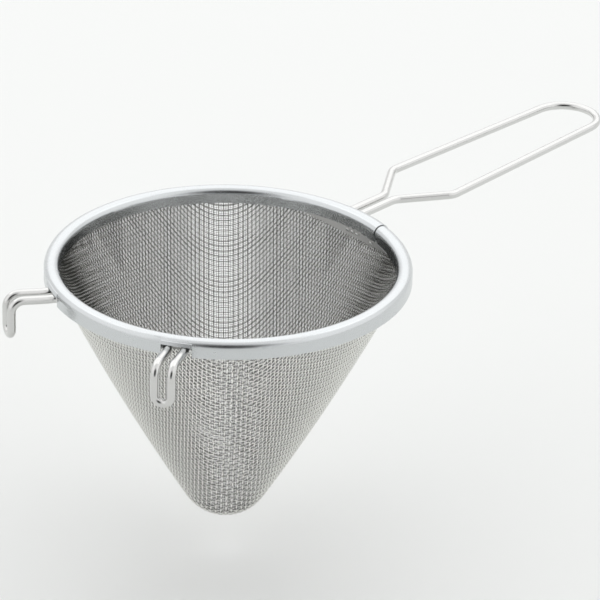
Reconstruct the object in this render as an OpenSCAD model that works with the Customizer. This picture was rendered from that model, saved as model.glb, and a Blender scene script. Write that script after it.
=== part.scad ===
// Double conical strainer for honey, in millimetres.
// Two nested cones of woven steel wire hang from a rolled sheet-metal rim. A long wire handle
// and two wire hooks carry the rim on the edge of a pail.
// Origin: centre of the rim, level with the springing line of its rolled bead.
// +X runs along the handle, +Z is up. The part is the same on both sides of the XZ plane,
// apart from the joint of the rim, which lies beside the handle.

/* [Rim] */
// Outside diameter of the rim
rim_d = 160; // [140:1:200]
// Width of the rolled bead, measured across the band
bead_w = 6.8; // [6.6:0.1:8]
// Thickness of the rim's sheet
sheet_t = 0.5; // [0.4:0.05:0.55]
// Height of the outer skirt below the springing line
skirt_h = 4.4; // [4:0.1:7]
// Height of the inner leg below the springing line
leg_h = 3.8; // [3:0.1:4]
// Half the width of the notches in the skirt
notch_half = 6.8; // [6.5:0.1:9]
// Direction of the joint in the rim, from the handle
seam_angle = -18.5; // [-24:0.5:-14]
// Extra bead radius where one end of the band slides over the other
seam_flare = 0.35; // [0.2:0.05:0.45]

/* [Strainer cone] */
// Depth from the springing line to the tip
cone_depth = 120.8; // [100:0.5:150]
// Outside radius of the rounded tip
tip_r = 21.3; // [15:0.1:26]
// Radius of the slight bulge down the side of the cone
bulge_r = 1200; // [900:50:2000]
// Thickness of the coarse outer weave
outer_mesh_t = 1; // [0.8:0.05:1]
// Thickness of the fine inner weave
inner_mesh_t = 0.3; // [0.25:0.05:0.45]

/* [Wire] */
// Diameter of the handle and hook wire
wire_d = 3.8; // [3.3:0.1:3.9]
// Height of the wires' centre line, from the springing line
wire_z = -1.9; // [-2.2:0.05:-1.8]

/* [Handle] */
// Distance from the rim's centre to the far end of the handle's centre line
handle_reach = 246.8; // [200:0.5:300]
// Distance from the rim's centre to the point where the two wires part
neck_x = 106; // [100:0.5:115]
// Half the distance between the wires at the neck
neck_half = 3; // [2.6:0.1:3.5]
// Half the width of the loop at its widest
loop_half = 18.5; // [14:0.1:20]
// Half the width of the loop at its far end
end_half = 15.2; // [12:0.1:17]
// Angle at which the wires part
splay = 34; // [30:1:45]
// Radius of the bends in the handle
handle_bend = 8; // [6:0.5:10]

/* [Hooks] */
// Angle between each hook and the line of the handle
hook_angle = 27.5; // [20:0.5:45]
// Half the distance between the two wires of a hook
hook_half = 3.5; // [2.8:0.1:3.6]
// Distance from the rim's centre to the centre line of a hook's legs
hook_reach = 99; // [94:0.5:105]
// Lowest point of a hook, below the springing line
hook_drop = 19; // [16:0.1:30]
// Rise of a hook's arms between the rim and the bend
hook_rise = 1.5; // [0:0.1:1.5]
// Radius of the bend from arm to leg
hook_bend = 5.2; // [4:0.1:6]

/* [Hidden] */
rim_r = rim_d / 2;
bead_r = bead_w / 2;
bead_c = rim_r - bead_r;              // radius of the bead's centre circle
leg_in = rim_r - bead_w;              // inner face of the inner leg
leg_out = leg_in + sheet_t;           // outer face of the inner leg, where the weaves start
weave_t = outer_mesh_t + inner_mesh_t;
flange_r = leg_out + weave_t;         // outer face of the upright edge of the weaves
flange_top = -0.1;                    // top of that upright edge
hoop_t = 0.4;                         // thickness of the hoop that clamps it
hoop_r = flange_r + hoop_t;
hoop_drop = 3.6;
hoop_top = 1.2;
foot_gap = 0.15;                      // space between the hoop and a wire's foot
foot_r = hoop_r + foot_gap + wire_d / 2;
foot_bend = 3.6;                      // radius of the bend into a foot
foot_end = 18;                        // direction in which the handle's feet end
hook_foot = 15;                       // direction in which a hook's feet end, from the hook
arm_start = 2.2;                      // straight run of a hook's arm after its foot
arm_bend = 12;                        // radius of the slight bend where the arm starts to rise
hook_turn_z = -hook_drop + hook_half + wire_d / 2;
notches = [0, 180 - hook_angle, 180 + hook_angle];
notch_top = 0.3;
notch_cut = 2;                        // how far in from the rim a notch is cut
notch_turn = asin(notch_half / rim_r);
flare_steps = 5;
flare_turn = 5;                       // width of one step of the flare
flare_start = 14;
seam_gap = 0.45 * 180 / (PI * rim_r); // width of the open joint in the rim, as an angle
thin = 0.02;                          // how much thinner the wire is in its bends
lap = 0.05;                           // how far a straight wire runs into a bend
weave_lap = 0.1;                      // how far the side of a weave runs into its tip
weld_d = 2.2;                         // spot weld between the hoop and a foot
weld_rise = 0.4;                      // how far it climbs up the foot
foot_weld_turn = 6;                   // half the stretch of foot cut from the weld
spot_r = 1.3;                         // spot weld on the joint plate
spot_top_r = 1;
spot_h = 0.3;
spot_depth = 1.4;                     // its centre, below the inner leg
plate_t = 0.45;                       // joint plate below the inner leg
plate_drop = 2.9;
plate_mid = -7;
plate_half = 22;
plate_chord = plate_half * leg_in * PI / 180;
plate_bow = (pow(plate_chord, 2) + pow(plate_drop, 2)) / (2 * plate_drop);
fine = 180;                           // facets of a turn about Z
slack = 1;                            // how far a cutting shape reaches past what it cuts

// The side of the cone is one long arc that runs into the tip's arc. The side starts at
// (flange_r, -leg_h), and both arcs share a tangent where they meet.
tip_z = tip_r - cone_depth;
rise = -leg_h - tip_z;
span = norm([flange_r, rise]);
reach_along = (pow(bulge_r, 2) - pow(bulge_r - tip_r, 2) + pow(span, 2)) / (2 * span);
reach_across = sqrt(pow(bulge_r, 2) - pow(reach_along, 2));
bulge_x = flange_r - reach_along * flange_r / span - reach_across * rise / span;
bulge_z = -leg_h - reach_along * rise / span + reach_across * flange_r / span;
side_start = atan2(-leg_h - bulge_z, flange_r - bulge_x);
side_end = atan2(tip_z - bulge_z, -bulge_x);

// The handle's widest corner, and the centre of its round end.
wide_x = neck_x + (loop_half - neck_half) / tan(splay);
end_x = handle_reach - end_half;
taper = atan((loop_half - end_half) / (end_x - wide_x));

// ---- Shared shapes ----

// Ring from angle a to angle b about Z, with the 2D section of its children.
module ring(a, b)
    rotate([0, 0, a])
        rotate_extrude(angle = b - a, $fn = fine)
            children();

function heading(a, b) = atan2(b[1] - a[1], b[0] - a[0]);

// Straight wire from a to b in the XY plane.
module wire_straight(a, b)
    translate([a[0], a[1], 0])
        rotate([0, 0, heading(a, b)])
            rotate([0, 90, 0])
                translate([0, 0, -lap])
                    cylinder(d = wire_d, h = norm(b - a) + 2 * lap, $fn = 32);

// Bent wire of radius r about centre c, from angle a to angle b, in the XY plane.
module wire_bend(c, r, a, b, d = wire_d - thin)
    translate([c[0], c[1], 0])
        ring(min(a, b), max(a, b))
            translate([r, 0])
                circle(d = d, $fn = 32);

function turn_at(p, i) =
    let (t = heading(p[i], p[i + 1]) - heading(p[i - 1], p[i]))
    t > 180 ? t - 360 : t < -180 ? t + 360 : t;
function trim(p, r, i) =
    i == 0 || i == len(p) - 1 ? 0 : r[i] * tan(abs(turn_at(p, i)) / 2);
function step(a, b, d) = a + (b - a) * d / norm(b - a);

// Wire along the corner points p, with a bend of radius r[i] at each inner corner.
module wire_path(p, r) {
    for (i = [0 : len(p) - 2])
        wire_straight(step(p[i], p[i + 1], trim(p, r, i)), step(p[i + 1], p[i], trim(p, r, i + 1)));
    for (i = [1 : len(p) - 2]) {
        turn = turn_at(p, i);
        side = turn > 0 ? 90 : -90;
        start = step(p[i], p[i - 1], trim(p, r, i));
        h = heading(p[i - 1], p[i]);
        centre = start + r[i] * [cos(h + side), sin(h + side)];
        wire_bend(centre, r[i], h - side, h - side + turn);
    }
}

// Foot of a wire that comes in along +X at y = half: a bend, then a run along the rim.
function foot_c(half) = [sqrt(pow(foot_r + foot_bend, 2) - pow(half + foot_bend, 2)), half + foot_bend];
module wire_foot(half, end) {
    c = foot_c(half);
    turn = heading([0, 0], c);
    wire_bend(c, foot_bend, 180 + turn, 270);
    wire_bend([0, 0], foot_r, turn - lap, end, wire_d);
}

// Spot weld between the hoop and a foot, in direction a.
module foot_weld(a)
    rotate([0, 0, a])
        difference() {
            translate([hoop_r - slack, 0, wire_z])
                rotate([0, 90, 0])
                    cylinder(d = weld_d, h = slack + foot_gap + weld_rise, $fn = 32);
            translate([0, 0, -hoop_drop - slack])
                cylinder(r = hoop_r, h = 2 * (hoop_drop + slack), $fn = fine);
            translate([0, 0, wire_z])
                wire_bend([0, 0], foot_r, -foot_weld_turn, foot_weld_turn, wire_d);
        }

// ---- Rim ----

// Outline of the band's section: bead, outer skirt and inner leg. grow widens it.
module band_outline(grow = 0) {
    translate([bead_c, 0])
        intersection() {
            circle(r = bead_r + grow, $fn = 96);
            translate([-2 * bead_r, 0])
                square([4 * bead_r, 2 * bead_r]);
        }
    translate([leg_in - grow, -leg_h])
        square([bead_w + 2 * grow, leg_h]);
    translate([bead_c, -skirt_h])
        square([bead_r + grow, skirt_h]);
}

// Hollow inside the band.
module band_hollow() {
    translate([bead_c, 0])
        circle(r = bead_r - sheet_t, $fn = 96);
    translate([leg_out, -skirt_h - slack])
        square([bead_w - 2 * sheet_t, skirt_h + slack]);
}

// Point of the bead's section, at radius r and angle a about the bead's centre.
function bead_point(r, a) = [bead_c + r * cos(a), r * sin(a)];

// Lip of the bead pressed outward over a notch.
module notch_lip()
    polygon([
        bead_point(bead_r - 0.3, 22), bead_point(bead_r - 0.05, 32), bead_point(bead_r + 0.12, 27),
        bead_point(bead_r + 0.55, 4), bead_point(bead_r + 0.25, 0), bead_point(bead_r - 0.2, 16)
    ]);

module rim_band()
    color("silver") {
        difference() {
            union() {
                ring(seam_angle, 360 + seam_angle - seam_gap)
                    band_outline();
                for (i = [1 : flare_steps])
                    ring(seam_angle, flare_start - flare_turn * i)
                        band_outline(seam_flare * i / flare_steps);
            }
            ring(0, 360)
                band_hollow();
            for (a = notches)
                rotate([0, 0, a])
                    translate([rim_r - notch_cut, -notch_half, -skirt_h - slack])
                        cube([2 * notch_cut, 2 * notch_half, skirt_h + slack + notch_top]);
        }
        for (a = notches)
            ring(a - notch_turn, a + notch_turn)
                notch_lip();
    }

// Hoop inside the band, which clamps the upright edge of both weaves against the inner leg.
module clamp_hoop()
    color("darkgray")
        ring(0, 360)
            translate([flange_r, -hoop_drop])
                square([hoop_t, hoop_drop + hoop_top]);

// ---- Woven cones ----

// Wedge about a centre, between the directions a and b.
module wedge(r, a, b)
    polygon([[0, 0], 2 * r * [cos(a), sin(a)], 2 * r * [cos((a + b) / 2), sin((a + b) / 2)],
        2 * r * [cos(b), sin(b)]]);

// Side of one layer, between the offsets a and b inward of the outermost surface.
module side_section(a, b)
    intersection() {
        translate([bulge_x, bulge_z])
            intersection() {
                difference() {
                    circle(r = bulge_r - a, $fn = 2880);
                    circle(r = bulge_r - b, $fn = 2880);
                }
                wedge(bulge_r, side_end - weave_lap * 180 / (PI * bulge_r), side_start + 0.5);
            }
        translate([0, -cone_depth])
            square([rim_d, cone_depth - leg_h]);
    }

// Rounded tip of the same layer, a little thinner than its side.
module tip_section(a, b)
    translate([0, tip_z])
        intersection() {
            difference() {
                circle(r = tip_r - a - thin, $fn = 360);
                circle(r = tip_r - b + thin, $fn = 360);
            }
            wedge(tip_r, -90, side_end);
        }

module mesh_layer(a, b)
    ring(0, 360) {
        side_section(a, b);
        tip_section(a, b);
        translate([flange_r - b, -leg_h - lap])
            square([b - a, leg_h + lap + flange_top]);
    }

module outer_mesh()
    color("gainsboro")
        mesh_layer(0, outer_mesh_t);

module inner_mesh()
    color("lightgray")
        mesh_layer(outer_mesh_t, weave_t);

// Curved plate under the inner leg, where the ends of the band and the handle are joined.
module joint_plate()
    color("silver")
        intersection() {
            ring(plate_mid - plate_half, plate_mid + plate_half)
                intersection() {
                    side_section(weave_t, weave_t + plate_t);
                    translate([0, -leg_h - plate_drop - slack])
                        square([rim_r, plate_drop + slack]);
                }
            rotate([0, 0, plate_mid])
                translate([0, 0, plate_bow - leg_h - plate_drop])
                    rotate([0, 90, 0])
                        cylinder(r = plate_bow, h = rim_r, $fn = 720);
        }

// Flat spot weld on the joint plate's inner face, in direction a, at depth d below the leg.
module plate_weld(a, d)
    rotate([0, 0, a])
        translate([flange_r - (weave_t + plate_t) / cos(side_start) + d * tan(side_start), 0, -leg_h - d])
            rotate([0, side_start - 90, 0])
                cylinder(r1 = spot_r, r2 = spot_top_r, h = spot_h, $fn = 48);

module plate_welds()
    color("whitesmoke")
        for (turn = [-10.5, -1.9, 0.5, 2.9])
            plate_weld(plate_mid + turn, spot_depth);

// ---- Handle ----

module handle_half()
    translate([0, 0, wire_z]) {
        wire_foot(neck_half, foot_end);
        wire_path(
            [[foot_c(neck_half)[0], neck_half], [neck_x, neck_half], [wide_x, loop_half],
                [end_x + end_half * sin(taper), end_half * cos(taper)]],
            [0, handle_bend, handle_bend, 0]);
    }

module handle()
    color("silver") {
        handle_half();
        mirror([0, 1, 0])
            handle_half();
        translate([0, 0, wire_z])
            wire_bend([end_x, 0], end_half, taper - 90, 90 - taper);
    }

module handle_welds()
    color("gray")
        for (a = [9, 14, -9, -14])
            foot_weld(a);

// ---- Hooks ----

// One side of a hook, in its own frame, with +X pointing away from the rim's centre.
module hook_half() {
    start = foot_c(hook_half)[0];
    translate([0, 0, wire_z])
        wire_foot(hook_half, hook_foot);
    translate([0, hook_half, 0])
        rotate([90, 0, 0])
            wire_path(
                [[start, wire_z], [start + arm_start, wire_z],
                    [hook_reach, wire_z + hook_rise], [hook_reach, hook_turn_z]],
                [0, arm_bend, hook_bend, 0]);
}

module hook(side)
    color("silver")
        rotate([0, 0, 180 - side * hook_angle]) {
            hook_half();
            mirror([0, 1, 0])
                hook_half();
            translate([hook_reach, 0, hook_turn_z])
                rotate([90, 0, 90])
                    wire_bend([0, 0], hook_half, -180, 0);
        }

module hook_welds(side)
    color("gray")
        rotate([0, 0, 180 - side * hook_angle])
            for (a = [9.5, 13, -9.5, -13])
                foot_weld(a);

module hook_left() hook(1);
module hook_left_welds() hook_welds(1);
module hook_right() hook(-1);
module hook_right_welds() hook_welds(-1);

rim_band();
clamp_hoop();
inner_mesh();
outer_mesh();
joint_plate();
plate_welds();
handle();
handle_welds();
hook_left();
hook_left_welds();
hook_right();
hook_right_welds();
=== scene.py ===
import math

import bpy
import numpy as np
from mathutils import Matrix, Vector


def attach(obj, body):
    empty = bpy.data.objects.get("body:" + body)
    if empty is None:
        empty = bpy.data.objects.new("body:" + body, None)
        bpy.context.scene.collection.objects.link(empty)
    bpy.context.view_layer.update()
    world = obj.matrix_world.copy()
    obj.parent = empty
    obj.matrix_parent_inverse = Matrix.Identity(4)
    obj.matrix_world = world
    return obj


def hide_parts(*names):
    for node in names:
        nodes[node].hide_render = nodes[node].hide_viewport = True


# Double conical strainer: the CAD rim, hoop, wires and welds with their surfaces, and two woven
# cones made of real wires in place of the CAD's plain shells. Lengths are in metres.

MM = 0.001

# Section of the cone, as in the CAD: rounded tip, bulging side, upright edge in the rim.
CONE_DEPTH = 120.8 * MM
TIP_R = 21.3 * MM
BULGE_R = 1200 * MM
EDGE_R = 75.0 * MM
EDGE_Z = -3.8 * MM
EDGE_TOP = -0.1 * MM
TIP_POINTS, SIDE_POINTS = 200, 400  # points along the section

# Weaves: distance between wires, wire radius, depth of the middle of the weave below the
# outermost surface, sides of a wire, points from crossing to crossing, and number of bands that
# each set of wires is cut into.
COARSE = dict(pitch=2.3 * MM, wire=0.25 * MM, depth=0.5 * MM, sides=6, steps=2, bands=2)
FINE = dict(pitch=0.8 * MM, wire=0.07 * MM, depth=1.14 * MM, sides=4, steps=1, bands=8)
WEAVE_TURN = math.radians(45)
NET_PASSES = 8  # Newton steps for each row of crossings

# Camera: the direction it looks from, about the strainer and above it, and its roll, in degrees;
# its distance; how far the strainer's middle lies right of and above the middle of the view.
CAMERA_TURN = -48.2
CAMERA_RISE = 26.4
CAMERA_ROLL = 1.4
VIEW_UNIT = 0.4338 * MM
CAMERA_AWAY = 4000
VIEW_RIGHT, VIEW_UP = -71.6, 33.6
LENS, SENSOR = 240, 36

# Brightness of the room, and of the dark patch in it. The patch lies in one fixed direction, that of
# the camera: within DARK_CORE degrees it is darkest, and from DARK_EDGE on the room is white again.
ROOM = 0.95
DARK = 0.02
DARK_CORE = 8
DARK_EDGE = 36

# Floor, and the lamps: distance from the strainer, size, power in watts, height in degrees.
FLOOR_SIZE = 12
FLOOR_Z = -0.14
LAMP_AWAY = 2
BACK_LAMP = dict(size=(4, 3), watts=20)
SIDE_LAMP = dict(size=(2.5, 2), watts=3)
BACK_RISE, SIDE_RISE, SIDE_TURN = 55, 35, 80

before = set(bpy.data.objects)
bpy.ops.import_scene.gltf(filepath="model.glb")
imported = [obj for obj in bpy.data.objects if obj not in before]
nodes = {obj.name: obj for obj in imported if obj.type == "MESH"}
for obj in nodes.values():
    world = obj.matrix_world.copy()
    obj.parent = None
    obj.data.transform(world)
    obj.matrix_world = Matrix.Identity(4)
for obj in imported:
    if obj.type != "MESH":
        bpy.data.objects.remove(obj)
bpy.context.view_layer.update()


# ---- Surface of the cone ----

def cone_section(depth):
    """Points (r, z) of the section at that depth below the outermost surface, from the tip up,
    closely spaced, with the distance along it."""
    tip_z = TIP_R - CONE_DEPTH
    rise = EDGE_Z - tip_z
    span = math.hypot(EDGE_R, rise)
    along = (BULGE_R**2 - (BULGE_R - TIP_R) ** 2 + span**2) / (2 * span)
    across = math.sqrt(BULGE_R**2 - along**2)
    cx = EDGE_R - along * EDGE_R / span - across * rise / span
    cz = EDGE_Z - along * rise / span + across * EDGE_R / span
    top = math.atan2(EDGE_Z - cz, EDGE_R - cx)
    join = math.atan2(tip_z - cz, -cx)
    a = np.linspace(-math.pi / 2, join, TIP_POINTS)
    tip = np.stack([(TIP_R - depth) * np.cos(a), tip_z + (TIP_R - depth) * np.sin(a)], 1)
    a = np.linspace(join, top, SIDE_POINTS)[1:]
    side = np.stack([cx + (BULGE_R - depth) * np.cos(a), cz + (BULGE_R - depth) * np.sin(a)], 1)
    edge = np.array([[side[-1, 0], EDGE_TOP]])
    points = np.concatenate([tip, side, edge])
    length = np.concatenate([[0], np.cumsum(np.hypot(*np.diff(points, axis=0).T))])
    return length, points


class Cone:
    """The middle surface of one weave. s is the distance up the side, turn the angle about Z."""

    def __init__(self, depth):
        self.length, self.points = cone_section(depth)
        slope = np.gradient(self.points, self.length, axis=0)
        self.slope = slope / np.linalg.norm(slope, axis=1, keepdims=True)
        self.end = self.length[-1]

    def section(self, s):
        return (np.interp(s, self.length, self.points[:, i]) for i in (0, 1))

    def at(self, s, turn):
        r, z = self.section(s)
        return np.stack([r * np.cos(turn), r * np.sin(turn), z], -1)

    def normal(self, s, turn):
        dr, dz = (np.interp(s, self.length, self.slope[:, i]) for i in (0, 1))
        return np.stack([dz * np.cos(turn), dz * np.sin(turn), -dr], -1)


def drape(cone, pitch):
    """A square net laid on one quarter of the cone from the tip up: (distance up the side, turn)
    of every crossing. Neighbouring crossings stay one pitch apart."""
    n = int(cone.end / pitch) + 1
    s = np.full((n, n), np.nan)
    turn = np.full((n, n), np.nan)
    s[:, 0] = s[0, :] = np.arange(n) * pitch
    turn[:, 0], turn[0, :] = 0, math.pi / 2
    for k in range(2, 2 * n - 1):
        i = np.arange(max(1, k - n + 1), min(n, k))
        j = k - i
        i, j = i[(j >= 1) & (j < n)], j[(j >= 1) & (j < n)]
        a = cone.at(s[i - 1, j], turn[i - 1, j])
        b = cone.at(s[i, j - 1], turn[i, j - 1])
        c = cone.at(s[i - 1, j - 1], turn[i - 1, j - 1])
        guess = a + b - c
        r, z = np.hypot(guess[:, 0], guess[:, 1]), guess[:, 2]
        here_t = np.arctan2(guess[:, 1], guess[:, 0])
        here_s = np.array([nearest(cone, p, q) for p, q in zip(r, z)])
        for _ in range(NET_PASSES):
            here_s, here_t = net_step(cone, here_s, here_t, a, b, pitch)
        bad = ~(here_s < cone.end)
        here_s[bad], here_t[bad] = np.nan, np.nan
        s[i, j], turn[i, j] = here_s, here_t
    return s, turn


def nearest(cone, r, z):
    """Distance up the side of the section's point nearest to (r, z)."""
    if not np.isfinite(r):
        return np.nan
    d = np.hypot(cone.points[:, 0] - r, cone.points[:, 1] - z)
    return cone.length[np.argmin(d)]


def net_step(cone, s, t, a, b, pitch):
    """One Newton step that brings (s, t) nearer to one pitch from both a and b."""
    eps_s, eps_t = 1e-6, 1e-5
    p = cone.at(s, t)
    ps = (cone.at(s + eps_s, t) - p) / eps_s
    pt = (cone.at(s, t + eps_t) - p) / eps_t
    fa = np.sum((p - a) ** 2, -1) - pitch**2
    fb = np.sum((p - b) ** 2, -1) - pitch**2
    m11, m12 = 2 * np.sum((p - a) * ps, -1), 2 * np.sum((p - a) * pt, -1)
    m21, m22 = 2 * np.sum((p - b) * ps, -1), 2 * np.sum((p - b) * pt, -1)
    det = m11 * m22 - m12 * m21
    ds = (m22 * fa - m12 * fb) / det
    dt = (m11 * fb - m21 * fa) / det
    return s - ds, t - dt


# ---- Wires ----

def wire_line(cone, s, turn, lift, steps):
    """A smooth wire through crossings on the cone, raised and lowered by lift at each, with the
    direction away from the cone at every point."""
    base = cone.at(s, turn)
    out = cone.normal(s, turn)
    if steps == 1:
        return base + out * lift[:, None], out
    # Points halfway between crossings come from a cubic through the four crossings around them.
    ends = np.concatenate([2 * base[:1] - base[1:2], base, 2 * base[-1:] - base[-2:-1]])
    middle = (9 * (ends[1:-2] + ends[2:-1]) - ends[:-3] - ends[3:]) / 16
    points = np.empty((2 * len(s) - 1, 3))
    points[0::2] = base + out * lift[:, None]
    points[1::2] = middle
    away = np.empty_like(points)
    away[0::2] = out
    away[1::2] = out[:-1] + out[1:]
    return points, away / np.linalg.norm(away, axis=1, keepdims=True)


def tube(points, away, radius, sides):
    """Vertices and faces of a round wire along the points, closed at both ends."""
    ahead = np.gradient(points, axis=0)
    ahead /= np.linalg.norm(ahead, axis=1, keepdims=True)
    side = np.cross(ahead, away)
    side /= np.linalg.norm(side, axis=1, keepdims=True)
    up = np.cross(side, ahead)
    a = np.arange(sides) * 2 * math.pi / sides
    ring = np.cos(a)[None, :, None] * up[:, None] + np.sin(a)[None, :, None] * side[:, None]
    verts = (points[:, None] + radius * ring).reshape(-1, 3)
    n = len(points)
    first = (np.arange(n - 1)[:, None] * sides + np.arange(sides)[None]).ravel()
    after = (np.arange(n - 1)[:, None] * sides + (np.arange(sides)[None] + 1) % sides).ravel()
    quads = np.stack([first, after, after + sides, first + sides], 1)
    caps = [np.arange(sides)[::-1], (n - 1) * sides + np.arange(sides)]
    return verts, quads, caps


def make_mesh(name, parts):
    """One smooth object out of many tubes."""
    verts, loops, starts, totals = [], [], [], []
    base, corner = 0, 0
    for v, quads, caps in parts:
        verts.append(v)
        for face in [quads, *[c[None] for c in caps]]:
            loops.append((face + base).ravel())
            starts.append(corner + np.arange(len(face)) * face.shape[1])
            totals.append(np.full(len(face), face.shape[1]))
            corner += face.size
        base += len(v)
    verts, loops = np.concatenate(verts), np.concatenate(loops)
    starts, totals = np.concatenate(starts), np.concatenate(totals)
    mesh = bpy.data.meshes.new(name)
    mesh.vertices.add(len(verts))
    mesh.vertices.foreach_set("co", verts.astype(np.float32).ravel())
    mesh.loops.add(len(loops))
    mesh.loops.foreach_set("vertex_index", loops.astype(np.int32))
    mesh.polygons.add(len(starts))
    mesh.polygons.foreach_set("loop_start", starts.astype(np.int32))
    mesh.polygons.foreach_set("loop_total", totals.astype(np.int32))
    mesh.update(calc_edges=True)
    mesh.validate()
    mesh.shade_smooth()
    obj = bpy.data.objects.new(name, mesh)
    bpy.context.scene.collection.objects.link(obj)
    return obj


def weave(name, node, cfg, material):
    """Both sets of wires of a woven cone in place of a CAD shell, each cut into bands."""
    cone = Cone(cfg["depth"])
    bands = cfg["bands"]
    s, turn = drape(cone, cfg["pitch"])
    n = len(s)
    for family in (0, 1):
        lines = [[] for _ in range(bands)]
        for j in range(1 - n, n):
            for i in wire_runs(s[:, abs(j)], n):
                if len(i) < 3:
                    continue
                here_s = s[np.abs(i), abs(j)]
                here_t = turn[np.abs(i), abs(j)]
                here_t = np.where(i < 0, math.pi - here_t, here_t)
                here_t = here_t if j >= 0 else -here_t
                if family:
                    here_t = math.pi / 2 - here_t
                sign = np.where((i + j) % 2 == 0, 1.0, -1.0) * (1 if family else -1)
                points, away = wire_line(cone, here_s, here_t + WEAVE_TURN, sign * cfg["wire"],
                                         cfg["steps"])
                band = min(bands - 1, (j + n - 1) * bands // (2 * n - 1))
                lines[band].append(tube(points, away, cfg["wire"], cfg["sides"]))
        for k, parts in enumerate(lines):
            obj = make_mesh(f"{name}_{'warp' if family else 'weft'}_{k + 1}", parts)
            obj.data.materials.append(material)
            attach(obj, "root")
            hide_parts(node)


def wire_runs(s, n):
    """Unbroken runs of crossings of one wire, from one edge of the cone to the other."""
    i = np.arange(1 - n, n)
    ok = np.isfinite(s[np.abs(i)])
    edges = np.flatnonzero(np.diff(np.concatenate([[0], ok.astype(int), [0]])))
    return [i[a:b] for a, b in zip(edges[0::2], edges[1::2])]


# ---- Materials ----

def metal(name, colour, rough, bump=0.1, scale=400):
    """Steel with fine brushed unevenness in its gloss and surface."""
    wear = 0.05
    mat = bpy.data.materials.new(name)
    mat.use_nodes = True
    nt = mat.node_tree
    bsdf = nt.nodes["Principled BSDF"]
    bsdf.inputs["Base Color"].default_value = (*colour, 1)
    bsdf.inputs["Metallic"].default_value = 1
    where = nt.nodes.new("ShaderNodeTexCoord")
    noise = nt.nodes.new("ShaderNodeTexNoise")
    noise.inputs["Scale"].default_value = scale
    noise.inputs["Detail"].default_value = 4
    nt.links.new(where.outputs["Object"], noise.inputs["Vector"])
    gloss = nt.nodes.new("ShaderNodeMapRange")
    gloss.inputs["To Min"].default_value = rough - wear
    gloss.inputs["To Max"].default_value = rough + wear
    nt.links.new(noise.outputs["Fac"], gloss.inputs["Value"])
    nt.links.new(gloss.outputs["Result"], bsdf.inputs["Roughness"])
    ripple = nt.nodes.new("ShaderNodeBump")
    ripple.inputs["Strength"].default_value = bump
    ripple.inputs["Distance"].default_value = 0.02 * MM
    nt.links.new(noise.outputs["Fac"], ripple.inputs["Height"])
    nt.links.new(ripple.outputs["Normal"], bsdf.inputs["Normal"])
    return mat


def paint(obj, material):
    """Give a CAD piece one material all over."""
    obj.data.materials.clear()
    obj.data.materials.append(material)
    for p in obj.data.polygons:
        p.material_index = 0


def cad_surfaces():
    """Steel for the pieces that are taken over from the CAD as they are."""
    rim = metal("rim_steel", (0.63, 0.65, 0.66), 0.26, bump=0.05, scale=150)
    wire = metal("wire_steel", (0.66, 0.66, 0.65), 0.18)
    # Painted shade and reflection: the hoop and the joint plate are the same steel as the rim,
    # coloured far darker to stand in for the shade round the hoop and the dark reflection on the
    # plate.
    plain = metal("plain_steel", (0.28, 0.28, 0.27), 0.3)
    # Painted highlight: the welds are the same steel, coloured near white to show as bright glints.
    weld = metal("weld_steel_painted_highlight", (0.95, 0.95, 0.93), 0.5, bump=0.3)
    paint(nodes["rim_band"], rim)
    for name in ("handle", "hook_left", "hook_right"):
        paint(nodes[name], wire)
    for name in ("clamp_hoop", "joint_plate"):
        paint(nodes[name], plain)
    for name in ("plate_welds", "handle_welds", "hook_left_welds", "hook_right_welds"):
        paint(nodes[name], weld)


def woven_cones():
    """The coarse outer weave and the fine inner one, wire by wire; the coarse wires carry painted
    light and the fine ones painted shade.
    """
    # Painted light: the coarse wires are coloured far lighter than the same steel elsewhere, so that
    # they look lit.
    coarse = metal("coarse_weave", (0.86, 0.86, 0.83), 0.12)
    # Painted shade: the fine wires are the same steel, coloured near black to stand in for the shade
    # behind the coarse weave.
    fine = metal("fine_weave", (0.04, 0.04, 0.036), 0.45)
    weave("outer_weave", "outer_mesh", COARSE, coarse)
    weave("inner_weave", "inner_mesh", FINE, fine)


# ---- Studio ----

def floor():
    """Plain pale paper under the strainer."""
    bpy.ops.mesh.primitive_plane_add(size=FLOOR_SIZE, location=(0, 0, FLOOR_Z))
    obj = bpy.context.object
    obj.name = "floor"
    mat = bpy.data.materials.new("floor_paper")
    mat.use_nodes = True
    nt = mat.node_tree
    bsdf = nt.nodes["Principled BSDF"]
    bsdf.inputs["Base Color"].default_value = (0.79, 0.8, 0.79, 1)
    bsdf.inputs["Roughness"].default_value = 0.6
    obj.data.materials.append(mat)


def lamp(name, azimuth, elevation, size, watts):
    """Soft rectangular lamp in that direction, turned to the strainer."""
    light = bpy.data.lights.new(name, "AREA")
    light.shape = "RECTANGLE"
    light.size, light.size_y = size
    light.energy = watts
    obj = bpy.data.objects.new(name, light)
    bpy.context.scene.collection.objects.link(obj)
    spot = Vector(around(azimuth, elevation, LAMP_AWAY))
    obj.location = spot
    obj.rotation_euler = (-spot).to_track_quat("-Z", "Y").to_euler()


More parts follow.
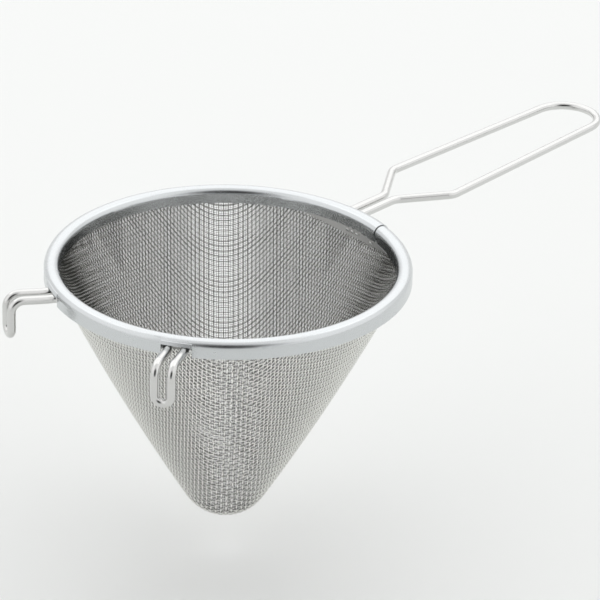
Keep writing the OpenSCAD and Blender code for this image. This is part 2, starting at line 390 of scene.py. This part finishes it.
def camera():
    """Long lens looking at the strainer from the reference's height and side, slightly rolled."""
    e, roll, turn = (math.radians(v) for v in (CAMERA_RISE, CAMERA_ROLL, CAMERA_TURN))
    right = Vector((1, 0, 0))
    up = Vector((0, math.sin(e), math.cos(e)))
    ahead = Vector((0, math.cos(e), -math.sin(e)))
    right, up = (right * math.cos(roll) + up * math.sin(roll),
                 up * math.cos(roll) - right * math.sin(roll))
    place = -(right * VIEW_RIGHT + up * VIEW_UP + ahead * CAMERA_AWAY) * VIEW_UNIT
    spin = Matrix.Rotation(turn, 3, "Z")
    right, up, ahead, place = (spin @ v for v in (right, up, ahead, place))
    cam = bpy.data.cameras.new("camera")
    cam.lens, cam.sensor_width = LENS, SENSOR
    cam.clip_start, cam.clip_end = 0.1, 50
    obj = bpy.data.objects.new("camera", cam)
    bpy.context.scene.collection.objects.link(obj)
    obj.matrix_world = Matrix((
        (right.x, up.x, -ahead.x, place.x),
        (right.y, up.y, -ahead.y, place.y),
        (right.z, up.z, -ahead.z, place.z),
        (0, 0, 0, 1)))
    bpy.context.scene.camera = obj


def around(azimuth, elevation, distance):
    """Point at that direction from the strainer; azimuth as the camera's, in degrees."""
    a, e = math.radians(azimuth), math.radians(elevation)
    return (distance * math.sin(a) * math.cos(e), -distance * math.cos(a) * math.cos(e),
            distance * math.sin(e))


def room():
    """White room with one dark patch, fixed in the scene."""
    world = bpy.data.worlds.new("room")
    bpy.context.scene.world = world
    world.use_nodes = True
    nt = world.node_tree
    where = nt.nodes.new("ShaderNodeTexCoord")
    towards = nt.nodes.new("ShaderNodeVectorMath")
    towards.operation = "DOT_PRODUCT"
    towards.inputs[1].default_value = around(CAMERA_TURN, CAMERA_RISE, 1)
    nt.links.new(where.outputs["Generated"], towards.inputs[0])
    shade = nt.nodes.new("ShaderNodeMapRange")
    shade.interpolation_type = "SMOOTHSTEP"
    shade.inputs["From Min"].default_value = math.cos(math.radians(DARK_EDGE))
    shade.inputs["From Max"].default_value = math.cos(math.radians(DARK_CORE))
    shade.inputs["To Min"].default_value = ROOM
    shade.inputs["To Max"].default_value = DARK
    nt.links.new(towards.outputs["Value"], shade.inputs["Value"])
    background = nt.nodes["Background"]
    background.inputs["Color"].default_value = (1, 1, 1, 1)
    nt.links.new(shade.outputs["Result"], background.inputs["Strength"])


def studio():
    """Pale floor in a white room, with soft light from behind, above and both sides."""
    floor()
    room()
    lamp("back_top", CAMERA_TURN + 180, BACK_RISE, **BACK_LAMP)
    lamp("left", CAMERA_TURN - SIDE_TURN, SIDE_RISE, **SIDE_LAMP)
    lamp("right", CAMERA_TURN + SIDE_TURN, SIDE_RISE, **SIDE_LAMP)
    bpy.context.scene.view_settings.view_transform = "Standard"


cad_surfaces()
woven_cones()
studio()
camera()
